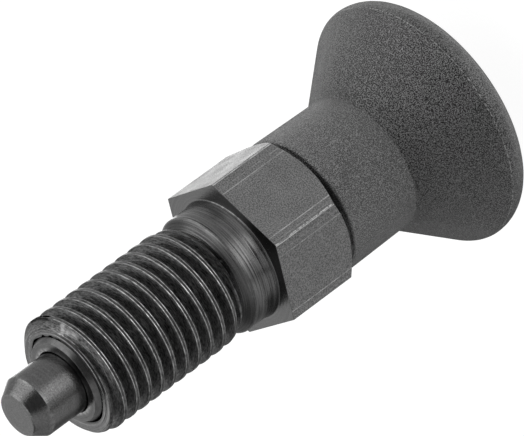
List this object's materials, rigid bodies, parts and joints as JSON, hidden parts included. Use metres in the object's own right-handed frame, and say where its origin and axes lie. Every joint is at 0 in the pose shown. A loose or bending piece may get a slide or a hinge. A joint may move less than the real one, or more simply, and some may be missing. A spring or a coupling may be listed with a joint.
{
  "type": "indexing plunger",
  "caption": "Spring-loaded indexing plunger: threaded body with hexagon, guided locating pin and mushroom pull grip.",
  "frame": {"origin": "centre of the hexagon's front face, which seats on the fixture", "axes": "+Z along the axis towards the nose of the pin, -Z towards the grip; +X through a corner of the hexagon"},
  "size_m": [0.0244, 0.0244, 0.0519],
  "materials": {
    "body_steel": "turned and blackened, oiled",
    "bush_steel": "turned and blackened",
    "pin_steel": "ground, hardened and blackened, satin",
    "spring_steel": "drawn wire, bright",
    "grip_plastic": "moulded, fine eroded grain, matt"
  },
  "bodies": {
    "housing": {"threaded_body": "body_steel", "guide_bush": "bush_steel"},
    "spring_turn": {"spring": "spring_steel"},
    "plunger": {"index_pin": "pin_steel", "grip": "grip_plastic"}
  },
  "joints": [
    {"name": "swivel", "type": "hinge", "parent": "housing", "child": "spring_turn", "pos_m": [0, 0, 0], "axis": [0, 0, 1], "continuous": true},
    {"name": "pull", "type": "slide", "parent": "spring_turn", "child": "plunger", "axis": [0, 0, -1], "range_m": [0, 0.006], "stiffness_N_per_m": 1320, "springref_m": -0.00455, "deforming": ["spring"]}
  ]
}
